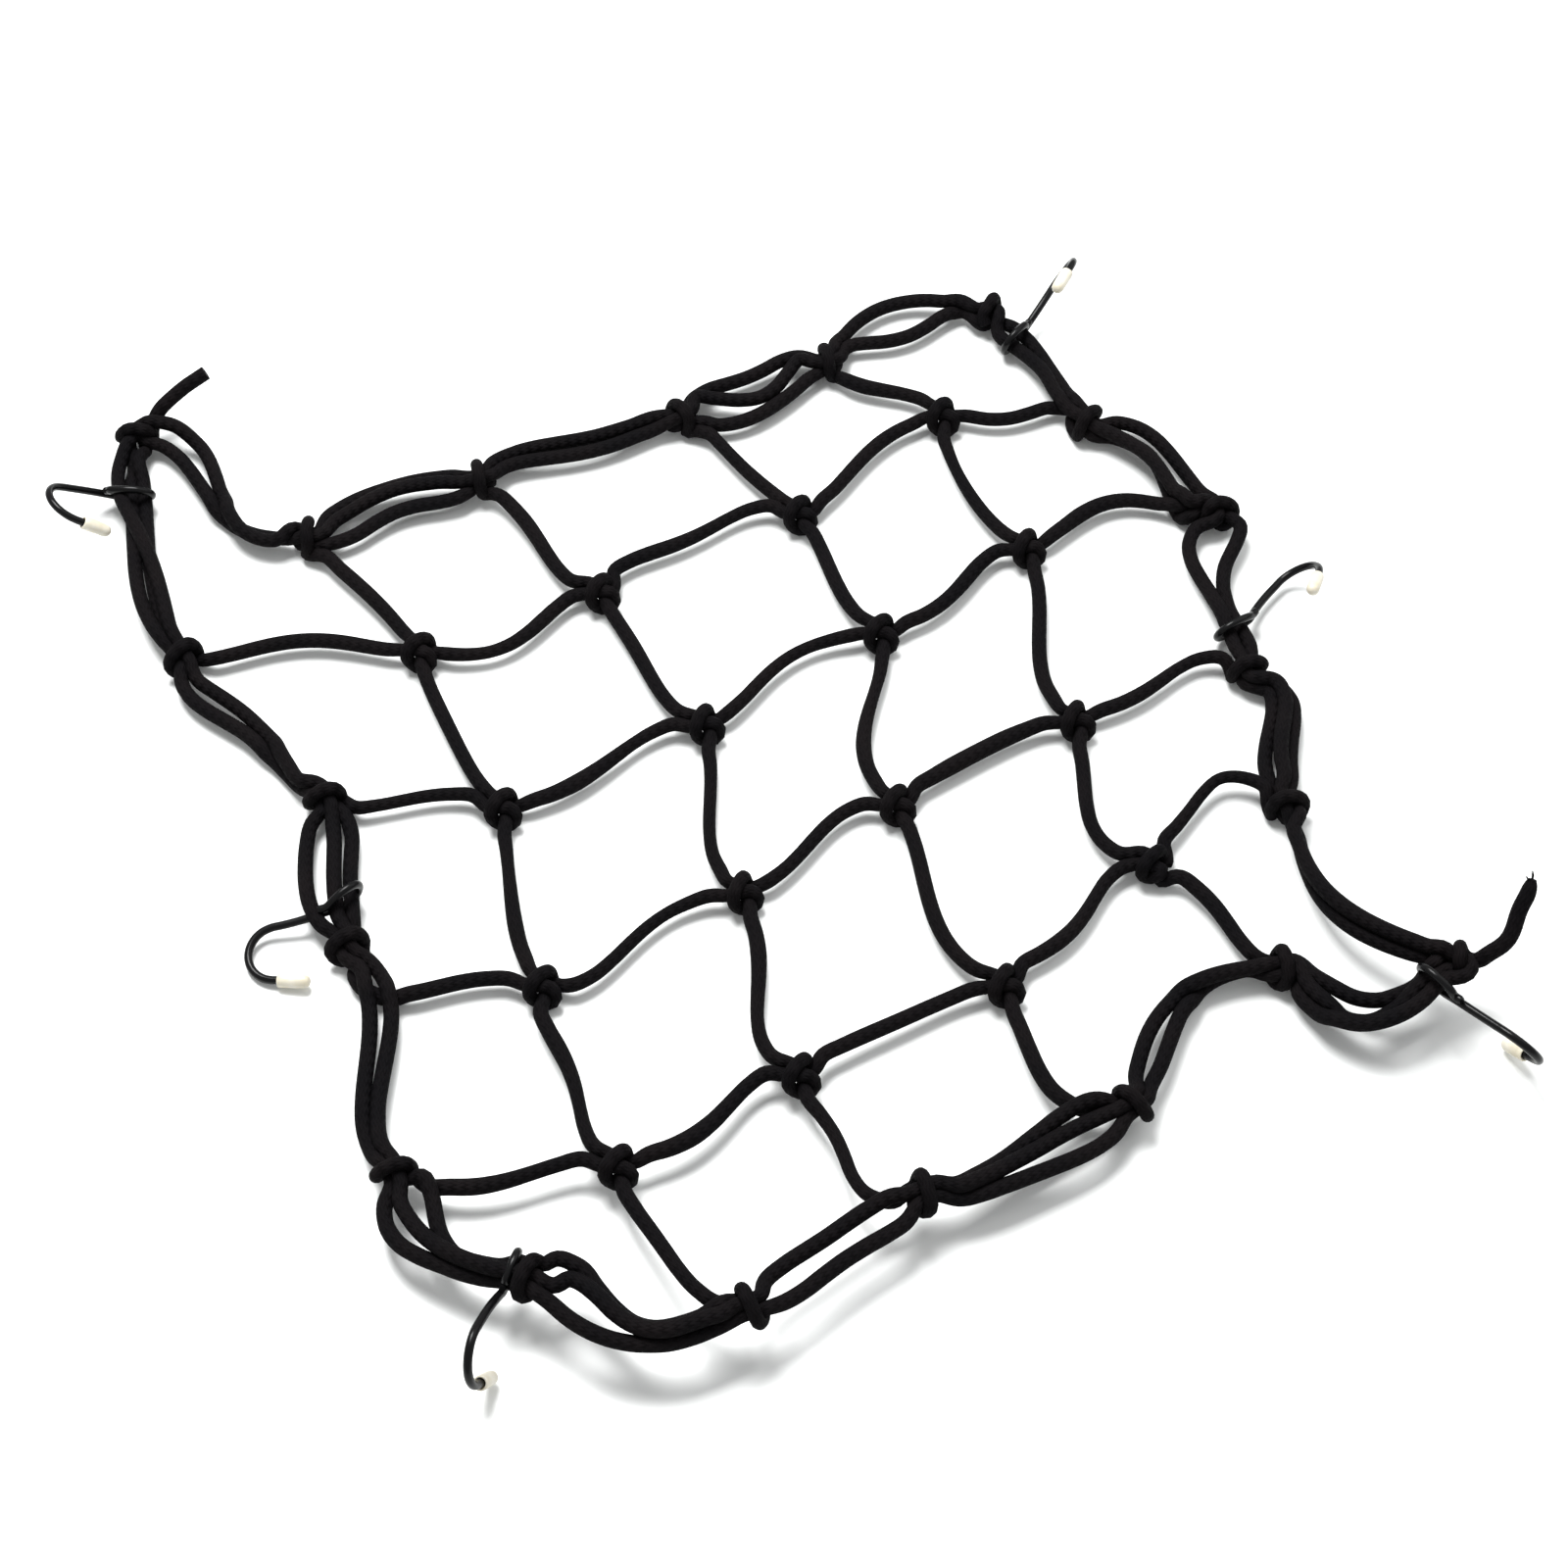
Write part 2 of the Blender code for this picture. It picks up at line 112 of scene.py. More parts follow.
# How thick the cord is in each leg, near its start and near its end. It is thinner where
# it is stretched.
ROW_WIDTHS = (
    ((4.7, 4.8), (3.9, 4.6), (4.8, 3.9), (4.4, 4.6), (4.5, 4.5)),
    ((3.7, 4.0), (5.1, 3.8), (4.1, 3.8), (4.6, 4.9), (5.2, 4.5)),
    ((4.8, 4.6), (3.9, 3.7), (4.1, 4.2), (5.3, 5.2), (4.5, 3.8)),
    ((4.9, 4.1), (5.3, 4.5), (4.6, 4.5), (4.8, 4.0), (3.7, 3.6)),
)
COLUMN_WIDTHS = (
    ((4.8, 4.7), (4.5, 4.4), (3.8, 4.7), (4.9, 3.8), (4.3, 4.1)),
    ((4.9, 4.6), (4.6, 4.4), (3.9, 3.8), (4.8, 3.9), (3.9, 3.7)),
    ((4.2, 4.5), (4.6, 4.7), (3.8, 4.8), (4.5, 4.6), (4.7, 4.8)),
    ((5.1, 4.5), (3.7, 4.3), (4.6, 4.7), (4.4, 4.3), (4.8, 4.5)),
)

# The same for the edge, with a line for each stretch between two knots and its strands
# from the outermost: two rounds of edge cord, and the mesh cord where it runs along.
SIDES = {
    "far": (
        ((9.5, -1, -10.5, 2), (1.5, -5.5, -8.5, 0)),
        ((7.5, 8.5, 6, 3), (3, 5, 2.5, 2), (-5, -1.5, -3.5, 0)),
        ((6.5, 4, 2.5, 2), (1.5, -2, -2, 0)),
        ((7, 6, 7, 2), (1.5, -5, 1, 1), (-9.5, -9.5, -5.5, 0)),
        ((12, 16, 12, 2), (3.5, 1, 5, 0)),
    ),
    "right": (
        ((4.5, 3.5, 1, 3), (-1.5, 0, -2.5, 3)),
        ((10, 8.5, 4, 1), (0.8, -0.2, -5.2, 3), (3, 2, -6, 0)),
        ((1, -3, 0, 2), (-11.5, -7.5, -4, 2)),
        ((10.5, 7.5, 4, 1), (8, 4, 1, 3), (4.5, 0, -3.5, 0)),
        ((-9.5, -13.5, -9, 6), (-8.5, -14.5, -11.5, 0)),
    ),
    "near": (
        ((-10.5, -14, -10.5, 0), (0.6, -9.8, -8, 1), (3.5, -8, -6, 3)),
        ((-4, -3, -3.5, 0), (5, 5, 5, 2)),
        ((-6, -7, -7, -1), (-2.5, -1, 0.5, 0), (0, 2.5, 6, 2)),
        ((3.5, 10.5, 12, 0), (10.5, 15, 11.5, 1)),
        ((-16, -20.5, -15.7, 7), (-12, -17.8, -9.5, -1), (-4.5, -11, -7, 1)),
    ),
    "left": (
        ((-4.5, -7.5, -8.5, 5), (-8.5, -4.5, -2, 4), (-2, -3.5, -4, 3)),
        ((-6.5, -2.5, -1.5, 0), (0, 2, -0.5, 1)),
        ((-6.5, -8.5, -8, 4), (1.5, 0, -1, 2), (6.5, 4.5, 3.5, 2)),
        ((3, -0.5, -5, 0), (9, 5, -1, 1)),
        ((-13.5, -13, -8.5, 0), (-7, -9, -6.5, 2), (2, -6, -5, 1)),
    ),
}
SIDE_KNOTS = {
    "far": [(0, i) for i in range(6)],
    "right": [(i, 5) for i in range(6)],
    "near": [(5, i) for i in range(6)],
    "left": [(i, 0) for i in range(6)],
}
# The inside of the net is to the left of a side's run at 1, and to its right at -1.
INWARD = {"far": -1, "right": -1, "near": 1, "left": 1}
# How far the ends of a leg stay from the middle of its knots: at the edge, in the mesh
# from the edge to the first knot, and from one inner knot to the next.
EDGE_CLEAR, FIRST_CLEAR, INNER_CLEAR = 9.0, 9.5, 8.5

# How the cord goes through a knot: (along the knot, across it to the left, up) from its
# middle. In an inner knot the row's cord goes round the column's and itself.
ROUND_THE_COLUMN = (
    (-4.2, -2.4, -0.4), (-0.8, -2.0, -0.8), (2.4, -1.8, -0.4), (4.6, -1.4, 0.0),
    (4.6, -3.4, -2.0), (2.2, -4.2, -3.0), (-0.6, -4.4, -2.4), (-1.8, -4.4, 0.2),
    (-1.1, -3.0, 2.9), (-0.2, 0.4, 4.0), (0.8, 3.6, 2.4), (1.0, 4.4, -0.6),
    (2.0, 2.4, -2.8), (4.6, 2.8, -2.0),
)
COLUMN_THROUGH = ((-4.2, 2.2, 0.2), (-0.2, 1.2, 0.2), (2.2, -0.6, -1.4), (3.8, -4.0, -2.2))
# At the edge, the mesh cord comes along, goes round the edge cords and leaves inwards.
ROUND_THE_EDGE = (
    (-4.0, 3.2, -0.6), (0.2, 3.0, -1.0), (3.0, 2.4, -1.0), (4.4, 0.6, -2.6),
    (3.4, -2.8, -3.0), (1.6, -4.4, -0.6), (0.8, -3.4, 2.8), (-0.2, 0.4, 4.2),
    (-1.0, 3.8, 3.0), (-1.4, 5.2, -0.2), (-0.6, 3.8, -2.8), (0.8, 4.8, -2.8),
)
# At a corner, the cord goes round the edge cords once and on along the next side.
ROUND_THE_CORNER = (
    (-4.0, 3.2, -0.5), (0.5, 3.0, -1.4), (3.2, 1.0, -2.8), (3.0, -3.0, -2.4),
    (1.4, -4.4, 0.4), (0.2, -2.4, 3.6), (-0.8, 1.6, 4.2), (-1.4, 4.6, 2.2),
    (-0.6, 5.0, -1.0), (1.2, 5.2, -1.6),
)
# The same at the last corner, pulled tighter, up to where the free end leaves.
ROUND_THE_LAST = (
    (-4.0, 1.6, -0.5), (0.5, 1.6, -1.8), (3.4, 0.2, -3.0), (3.8, -3.0, -2.0),
    (2.6, -3.6, 0.8), (1.2, -1.8, 3.4), (0.0, 0.6, 3.4), (-0.2, 2.0, 1.2),
    (1.4, 2.0, -1.2),
)
# How far each inner knot is turned, in degrees from the rows, by row and column.
KNOT_TURNS = (
    (-52, -38, -42, -44),
    (-44, -30, -46, -36),
    (-46, -28, -40, -34),
    (-44, -40, -36, -50),
)


def knot_place(row, column):
    """The even grid's place, moved by the table, in mm from the middle of the whole."""
    right, away, height = KNOTS[row][column]
    x = (column - 2.5) * PITCH + right - NET_CENTRE[0]
    y = (2.5 - row) * PITCH + away - NET_CENTRE[1]
    return np.array([x, y, height])


def leg(start, end, bows, clear, lay=0.0, widths=(4.6, 4.6)):
    """Points from knot to knot: the straight run, plus a quartic wave through the bows to
    its left, plus a height of (4 * lift * s - 8 * (1 - lay)) * (1 - s), which fades in
    over the first half and stays between -1.2 and 9 mm. The ends stay clear of the
    knots. The fourth value of a point is the cord's width."""
    first, last = knot_place(*start), knot_place(*end)
    run = last - first
    left = np.array([-run[1], run[0], 0.0]) / np.hypot(run[0], run[1])
    wave = np.polyfit((0, 0.25, 0.5, 0.75, 1), (0, *bows[:3], 0), 4)
    s = np.linspace(0, 1, 41)
    hump = (4 * bows[3] * s + 8 * (lay - 1)) * (1 - s) * np.minimum(1, 2 * s)
    line = first + np.outer(s, run) + np.outer(np.polyval(wave, s), left)
    line[:, 2] += np.clip(hump, -1.2, 9)
    gone = np.append(0, np.cumsum(np.linalg.norm(np.diff(line, axis=0), axis=1)))
    count = max(2, round((gone[-1] - 2 * clear) / LEG_STEP) + 1)
    kept = np.linspace(clear, gone[-1] - clear, count)
    widths = (BESIDE_KNOT, *widths, BESIDE_KNOT)
    width = np.interp(kept / gone[-1], (0.1, 0.35, 0.65, 0.9), widths)
    return np.column_stack([np.interp(kept, gone, line[:, k]) for k in range(3)] + [width])


def through(row, column, turn, way, side=1, reverse=1):
    """A way through a knot, turned in plan: middle + along * u + across * v + up * z. With
    side or reverse at -1 it is mirrored across or along the knot."""
    along = np.array([cos(radians(turn)), sin(radians(turn)), 0.0])
    across = side * np.array([-along[1], along[0], 0.0])
    points = TIGHT * np.array(way, float) * (reverse, 1, 1)
    line = knot_place(row, column) + np.outer(points[:, 0], along)
    line += np.outer(points[:, 1], across)
    line[:, 2] += points[:, 2]
    return np.column_stack([line, np.full(len(line), KNOTTED)])


def side_turn(side, n):
    """The way the edge runs past its knot n, in degrees: from the knot before to the next."""
    first, last = SIDE_KNOTS[side][max(n - 1, 0)], SIDE_KNOTS[side][min(n + 1, 5)]
    run = knot_place(*last) - knot_place(*first)
    return np.degrees(np.arctan2(run[1], run[0]))


# Strands that bend sharply as they leave the first knot of their stretch: (right, far, up)
# from the knot's middle, by side, stretch and strand.
LEAVING = {
    ("far", 0, 0): ((9.0, -0.9, 3.8), (12.6, -3.6, 3.4)),
    ("near", 0, 1): ((2.6, -3.2, -0.6), (6.2, -5.4, -1.0), (9.9, -4.6, -1.0)),
    ("right", 2, 0): ((3.4, -7.6, 0.0), (0.2, -12.0, 0.0)),
}


def edge_strand(side, n, strand):
    """One strand of a stretch of the edge: a leg, or a leg that begins as LEAVING says.
    The middle one of three lies on the others."""
    shapes = SIDES[side][n]
    first, last = SIDE_KNOTS[side][n : n + 2]
    lay = (0.0, 0.9 if len(shapes) == 3 else 0.25, 0.1)[strand]
    line = leg(first, last, shapes[strand], EDGE_CLEAR, lay)
    if (side, n, strand) in LEAVING:
        start = knot_place(*first) + np.array(LEAVING[side, n, strand], float)
        line = np.vstack([np.column_stack([start, np.full(len(start), 4.5)]), line[2:]])
    return line


def edge_knot(side, n, after):
    """The mesh cord's way round the edge: from the stretch before the knot inwards, or
    mirrored where its stretch comes after the knot."""
    row, column = SIDE_KNOTS[side][n]
    turn, reverse = side_turn(side, n), -1 if after else 1
    return through(row, column, turn, ROUND_THE_EDGE, INWARD[side], reverse)


def row_line(row):
    """A row of the mesh from the left: a leg, and then a knot and a leg four times."""
    legs, widths = ROW_LEGS[row - 1], ROW_WIDTHS[row - 1]
    line = [leg((row, 0), (row, 1), legs[0], FIRST_CLEAR, 0.0, widths[0])]
    for column in range(1, 5):
        start, end = (row, column), (row, column + 1)
        line.append(through(row, column, KNOT_TURNS[row - 1][column - 1], ROUND_THE_COLUMN))
        line.append(leg(start, end, legs[column], INNER_CLEAR, 0.0, widths[column]))
    return np.vstack(line)


def column_line(column):
    """A column of the mesh from the far side, in the same way."""
    legs, widths = COLUMN_LEGS[column - 1], COLUMN_WIDTHS[column - 1]
    line = [leg((0, column), (1, column), legs[0], FIRST_CLEAR, 0.0, widths[0])]
    for row in range(1, 5):
        start, end = (row, column), (row + 1, column)
        line.append(through(row, column, KNOT_TURNS[row - 1][column - 1], COLUMN_THROUGH))
        line.append(leg(start, end, legs[row], INNER_CLEAR, 0.0, widths[row]))
    return np.vstack(line)


def evened(points, step):
    """A smooth line through points: cubic pieces between them, with each point's slope
    from its neighbours over the root of the distance, sampled again at even steps."""
    points = np.asarray(points, float)
    distances = np.linalg.norm(np.diff(points[:, :3], axis=0), axis=1)
    t = np.append(0, np.cumsum(np.sqrt(distances)))
    slopes = np.gradient(points, t, axis=0)
    fine = np.linspace(0, t[-1], 24 * len(points))
    i = np.clip(np.searchsorted(t, fine, side="right") - 1, 0, len(t) - 2)
    h = (t[i + 1] - t[i])[:, None]
    x = (fine - t[i])[:, None] / h
    line = (2 * x**3 - 3 * x**2 + 1) * points[i] + (x**3 - 2 * x**2 + x) * h * slopes[i]
    line += (3 * x**2 - 2 * x**3) * points[i + 1] + (x**3 - x**2) * h * slopes[i + 1]
    gone = np.append(0, np.cumsum(np.linalg.norm(np.diff(line[:, :3], axis=0), axis=1)))
    kept = np.linspace(0, gone[-1], round(gone[-1] / step) + 1)
    return np.stack([np.interp(kept, gone, row) for row in line.T], axis=1)


# The mesh cord's two ends stick out of the corner knots: (right, far, up) from them.
TAIL_FAR = (
    (6.5, 2.4, 2.0), (9.0, 3.6, 4.3), (12.3, 4.6, 5.9), (15.9, 5.4, 7.4), (19.7, 5.9, 9.1),
    (23.4, 6.0, 10.6), (27.4, 6.2, 12.0),
)
TAIL_NEAR = (
    (5.6, -2.9, 1.6), (8.0, -3.5, 4.3), (10.2, -4.1, 6.6), (12.5, -4.0, 8.9), (14.7, -2.7, 11.6),
    (16.2, -1.1, 13.8), (18.0, 0.5, 16.3), (20.2, 1.8, 19.0), (22.6, 4.1, 22.4),
)


def tail_line(corner, points):
    """A free end from its knot out, through the points."""
    line = knot_place(*corner) + np.array(points, float)
    return np.column_stack([line, np.full(len(line), FREE_END)])


# The mesh cord's way, from its free end at the far left to the one at the near right.
mesh_way = [tail_line((0, 0), TAIL_FAR)[::-1], edge_knot("left", 0, True)[::-1]]
mesh_way += [edge_strand("left", 0, 2), edge_knot("left", 1, False), row_line(1)]
mesh_way += [edge_knot("right", 1, True)[::-1], edge_strand("right", 1, 2)]
mesh_way += [edge_knot("right", 2, False), row_line(2)[::-1], edge_knot("left", 2, True)[::-1]]
mesh_way += [edge_strand("left", 2, 2), edge_knot("left", 3, False), row_line(3)]
mesh_way += [edge_knot("right", 3, True)[::-1], edge_strand("right", 3, 2)]
mesh_way += [edge_knot("right", 4, False), row_line(4)[::-1], edge_knot("left", 4, True)[::-1]]
mesh_way += [edge_strand("left", 4, 2), through(5, 0, side_turn("left", 5), ROUND_THE_CORNER)]
mesh_way += [edge_strand("near", 0, 2), edge_knot("near", 1, False), column_line(1)[::-1]]
mesh_way += [edge_knot("far", 1, True)[::-1], edge_strand("far", 1, 2)]
mesh_way += [edge_knot("far", 2, False), column_line(2), edge_knot("near", 2, True)[::-1]]
mesh_way += [edge_strand("near", 2, 2), edge_knot("near", 3, False), column_line(3)[::-1]]
mesh_way += [edge_knot("far", 3, True)[::-1], edge_strand("far", 3, 2)]
mesh_way += [edge_knot("far", 4, False), column_line(4), edge_knot("near", 4, True)[::-1]]
mesh_way += [edge_strand("near", 4, 2)]
mesh_way += [through(5, 5, side_turn("near", 5), ROUND_THE_LAST), tail_line((5, 5), TAIL_NEAR)]
mesh_line = evened(np.vstack(mesh_way), RING_STEP)

# How the edge cord's first and second round go through the corner knot at the end of each
# side: (right, far, up) from its middle. The second one ends in the far right knot.
CORNERS = {
    "right": (((2.6, -3.0, 0.4),), ((0.4, -1.0, 0.4),)),
    "near": (((-1.6, -2.6, 0.4),), ((0.0, -0.4, 0.4),)),
    "left": (((-2.0, 2.0, 0.4), (3.0, 2.2, 1.6)), ((0.0, 0.0, 0.4),)),
    "far": (
        ((-3.6, 1.6, 0.8), (0.4, 2.0, 0.8), (3.0, -0.6, 0.4)),
        (
            (-4.5, -2.0, -0.6), (-1.6, -1.8, -2.2), (1.2, -0.2, -3.4), (3.4, 1.8, -1.4),
            (3.0, 2.6, 1.6), (1.4, 1.2, 3.6), (-1.2, -0.8, 3.2), (-3.4, -2.2, 0.6),
            (-3.2, -2.8, -1.6),
        ),
    ),
}


def edge_round(strand, offset):
    """One round of the edge cord from the far right corner, clockwise seen from above:
    right side, near side, left side and far side, offset mm to the inside in each knot."""
    way = []
    for side, forward in (("right", True), ("near", False), ("left", False), ("far", True)):
        for step in range(5):
            n = step if forward else 4 - step
            stretch = edge_strand(side, n, strand)
            way.append(stretch if forward else stretch[::-1])
            if step < 4:
                knot = n + 1 if forward else n
                turn = side_turn(side, knot)
                ends = ((-3.5, offset, 0.2), (3.5, offset, 0.2))
                passing = through(*SIDE_KNOTS[side][knot], turn, ends, INWARD[side])
                way.append(passing if forward else passing[::-1])
        corner = knot_place(*SIDE_KNOTS[side][5 if forward else 0])
        passing = corner + np.array(CORNERS[side][strand], float)
        way.append(np.column_stack([passing, np.full(len(passing), KNOTTED)]))
    return np.vstack(way)


edge_start = [(*(knot_place(0, 5) + (-0.8, -0.6, -1.6)), KNOTTED)]
edge_line = evened(np.vstack([edge_start, edge_round(0, -1.7), edge_round(1, 1.4)]), RING_STEP)

NEAR = 11.0  # points further apart than this, at first, never come to touch
SAME_TURN = 6  # points of a cord with no more steps than this between them may be near
BLOCK = 600  # so many points are compared with all others at a time


def settled(lines, rounds=70):
    """The cords pushed clear of each other and kept above the floor, as they would lie.

    In each round, two points of different turns that are nearer than their thickness move
    apart along the line between them, each point is drawn onto the smooth curve of its
    four neighbours, and all are drawn back a little to where they began. Near a knot's
    middle the cords may be squeezed more, and are held less."""
    points = np.vstack(lines)[:, :3]
    half = np.concatenate([line[:, 3] for line in lines]) / 2
    middles = np.array([knot_place(row, column) for row in range(6) for column in range(6)])
    from_knot = np.linalg.norm(points[:, None, :2] - middles[None, :, :2], axis=2).min(axis=1)
    cord = np.repeat(np.arange(len(lines)), [len(line) for line in lines])
    first, second = [], []
    for low in range(0, len(points), BLOCK):
        apart = ((points[low : low + BLOCK, None] - points[None]) ** 2).sum(axis=2)
        i, j = np.nonzero(apart < NEAR**2)
        i += low
        counted = (j > i) & ((cord[i] != cord[j]) | (np.abs(i - j) > SAME_TURN))
        first.append(i[counted])
        second.append(j[counted])
    i, j = np.concatenate(first), np.concatenate(second)
    home = points.copy()
    starts = np.cumsum([0] + [len(line) for line in lines])
    ends = [starts[:-1], starts[:-1] + 1, starts[1:] - 1, starts[1:] - 2]
    free = np.ones(len(points), bool)
    free[np.concatenate(ends)] = False
    squeeze = np.interp(from_knot, (6, 12), (0.84, 0.96))
    wanted = (half[i] + half[j]) * np.minimum(squeeze[i], squeeze[j])
    hold = np.interp(from_knot, (6, 14), (0.04, 0.12))[:, None] * (1, 1, 0.15)
    for _ in range(rounds):
        between = points[j] - points[i]
        distance = np.linalg.norm(between, axis=1) + 1e-9
        short = np.maximum(wanted - distance, 0)
        push = between * (0.35 * short / distance)[:, None]
        moves, counts = np.zeros_like(points), np.zeros(len(points))
        np.add.at(moves, j, push)
        np.add.at(moves, i, -push)
        np.add.at(counts, i, short > 0)
        np.add.at(counts, j, short > 0)
        points += moves / np.sqrt(np.maximum(counts, 1))[:, None]
        smooth = points.copy()
        smooth[2:-2] = (4 * (points[1:-3] + points[3:-1]) - points[:-4] - points[4:]) / 6
        points[free] += 0.35 * (smooth - points)[free]
        points += hold * (home - points)
        points[:, 2] = np.maximum(points[:, 2], half)
    cuts = starts[1:-1]
    parts = zip(np.split(points, cuts), np.split(2 * half, cuts))
    return [np.column_stack(part) for part in parts]


mesh_line, edge_line = settled([mesh_line, edge_line])
mesh_line[-4:, 3] *= (0.97, 0.9, 0.76, 0.5)  # the frayed end comes to a point


def ring_faces(rings, sides):
    """Quads from each ring of points to the next, and a flat face over each end."""
    index = np.arange(rings * sides).reshape(rings, sides)
    following = np.roll(index, -1, axis=1)
    quads = np.stack([index[:-1], following[:-1], following[1:], index[1:]], axis=-1)
    return [*quads.reshape(-1, 4).tolist(), index[0][::-1].tolist(), index[-1].tolist()]


def swept(name, line, sides):
    """A tube: a ring of points round each point of the line, square to it and as wide as
    the point's fourth value, each turned the least from the one before. Its UV map is the
    turn from 0 to 1 and the metres along."""
    line, half = line[:, :3], line[:, 3] / 2
    along = np.gradient(line, axis=0)
    along /= np.linalg.norm(along, axis=1, keepdims=True)
    square = [np.array([0, 0, 1.0]) if abs(along[0, 2]) < 0.9 else np.array([1.0, 0, 0])]
    for direction in along:
        ray = square[-1] - (square[-1] @ direction) * direction
        square.append(ray / np.linalg.norm(ray))
    ray = np.array(square[1:])
    other = np.cross(along, ray)
    turn = (np.arange(sides) * 2 * pi / sides)[None, :, None]
    rays = np.cos(turn) * ray[:, None] + np.sin(turn) * other[:, None]
    rings = line[:, None] + half[:, None, None] * rays
    gone = np.append(0, np.cumsum(np.linalg.norm(np.diff(line, axis=0), axis=1))) * MM
    around = np.arange(sides) / sides
    u = np.stack([around, around + 1 / sides, around + 1 / sides, around], axis=-1)
    v = np.stack([gone[:-1], gone[:-1], gone[1:], gone[1:]], axis=-1)[:, None]
    each_quad = (len(line) - 1, sides, 4)
    flat = np.stack([np.broadcast_to(u, each_quad), np.broadcast_to(v, each_quad)], axis=-1)
    flat_ends = [np.zeros((sides, 2)), np.tile((0.0, gone[-1]), (sides, 1))]
    flat = np.vstack([flat.reshape(-1, 2), *flat_ends])
    mesh = bpy.data.meshes.new(name)
    mesh.from_pydata((rings.reshape(-1, 3) * MM).tolist(), [], ring_faces(len(line), sides))
    mesh.uv_layers.new(name="round and along").data.foreach_set("uv", flat.ravel())
    mesh.shade_smooth()
    mesh.set_sharp_from_angle(angle=radians(50))
    piece = bpy.data.objects.new(name, mesh)
    bpy.context.scene.collection.objects.link(piece)
    return piece


def hex_colour(code):
    """An sRGB hex colour as linear values: c / 12.92 below 0.04045, and otherwise
    ((c + 0.055) / 1.055) to the power of 2.4."""
    channels = np.array([int(code[i : i + 2], 16) for i in (1, 3, 5)]) / 255
    linear = np.where(channels < 0.04045, channels / 12.92, ((channels + 0.055) / 1.055) ** 2.4)
    return (*linear.tolist(), 1.0)


def add(tree, kind, settings, **links):
    """Adds a node. Settings are its own or its inputs' values, and each link names an
    input, or i and its number, and gives (node, output)."""
    made = tree.nodes.new("ShaderNode" + kind)
    for name, value in settings.items():
        if isinstance(name, str) and hasattr(made, name):
            setattr(made, name, value)
        else:
            made.inputs[name].default_value = value
    for name, (source, output) in links.items():
        socket = int(name[1]) if name[1:].isdigit() else name.replace("_", " ")
        tree.links.new(source.outputs[output], made.inputs[socket])
    return made


def new_material(name):
    """A material, its nodes and its shader."""
    made = bpy.data.materials.new(name)
    made.use_nodes = True
    return made, made.node_tree, made.node_tree.nodes["Principled BSDF"]


# Braided elastic cord: rubber threads in a tight sheath of black polyester yarn, woven
# from 24 carriers. The real yarns are under a millimetre wide, too fine to show. They are
# drawn 1.3 mm wide, 12 each way at 40 degrees to the cord, so the surface is matt with a
# faint diamond grain, and browner where the yarn is rubbed. The base colour is also made a
# little darker in the grooves between the yarns, which is painted shade.
YARNS = 12.0  # round the cord, one way
PICK = 0.0032  # m along the cord, from one crossing to the next
cord_finish, tree, shader = new_material("braided polyester over rubber")
where = add(tree, "UVMap", {"uv_map": "round and along"})
parts = add(tree, "SeparateXYZ", {}, Vector=(where, "UV"))
turns = add(tree, "Math", {"operation": "MULTIPLY", 1: YARNS}, i0=(parts, "X"))
picks = add(tree, "Math", {"operation": "MULTIPLY", 1: 1 / PICK}, i0=(parts, "Y"))
both = {"i0": (turns, "Value"), "i1": (picks, "Value")}
one_way = add(tree, "Math", {"operation": "ADD"}, **both)
other_way = add(tree, "Math", {"operation": "SUBTRACT"}, **both)
one_cell = add(tree, "Math", {"operation": "FLOOR"}, i0=(one_way, "Value"))
other_cell = add(tree, "Math", {"operation": "FLOOR"}, i0=(other_way, "Value"))
cells = add(tree, "Math", {"operation": "ADD"}, i0=(one_cell, "Value"), i1=(other_cell, "Value"))
over = add(tree, "Math", {"operation": "FLOORED_MODULO", 1: 2.0}, i0=(cells, "Value"))
one_angle = add(tree, "Math", {"operation": "MULTIPLY", 1: pi}, i0=(one_way, "Value"))
other_angle = add(tree, "Math", {"operation": "MULTIPLY", 1: pi}, i0=(other_way, "Value"))
one_wave = add(tree, "Math", {"operation": "SINE"}, i0=(one_angle, "Value"))
other_wave = add(tree, "Math", {"operation": "SINE"}, i0=(other_angle, "Value"))
one_yarn = add(tree, "Math", {"operation": "ABSOLUTE"}, i0=(one_wave, "Value"))
other_yarn = add(tree, "Math", {"operation": "ABSOLUTE"}, i0=(other_wave, "Value"))
crossed = {"A": (one_yarn, "Value"), "B": (other_yarn, "Value")}
yarns = add(tree, "Mix", {"data_type": "FLOAT"}, Factor=(over, "Value"), **crossed)
place = add(tree, "TexCoord", {})
rubbed = add(tree, "TexNoise", {"Scale": 60.0, "Detail": 3.0}, Vector=(place, "Object"))
fibre = add(tree, "TexNoise", {"Scale": 2600.0, "Detail": 2.0}, Vector=(place, "Object"))
black = add(tree, "ValToRGB", {}, Fac=(rubbed, "Fac"))
black_stop, rubbed_stop = black.color_ramp.elements
black_stop.position, black_stop.color = 0.35, hex_colour("#0b0a0c")
rubbed_stop.position, rubbed_stop.color = 0.72, hex_colour("#120f10")
# Painted shade: the colour is darkened along the grooves where the yarns dip, lighter on their crowns.
groove_shade = add(tree, "MapRange", {"To Min": 0.75, "To Max": 1.1}, Value=(yarns, "Result"))
darkened = {"data_type": "RGBA", "blend_type": "MULTIPLY", "Factor": 0.5}
yarn_colour_with_painted_shade = add(tree, "Mix", darkened, i6=(black, "Color"), i7=(groove_shade, "Result"))
tree.links.new(yarn_colour_with_painted_shade.outputs[2], shader.inputs["Base Color"])
mixed = {"i0": (fibre, "Fac"), "i2": (yarns, "Result")}
grain = add(tree, "Math", {"operation": "MULTIPLY_ADD", 1: 0.25}, **mixed)
relief = add(tree, "Bump", {"Strength": 0.8, "Distance": 0.00022}, Height=(grain, "Value"))
tree.links.new(relief.outputs["Normal"], shader.inputs["Normal"])
shader.inputs["Roughness"].default_value = 0.8
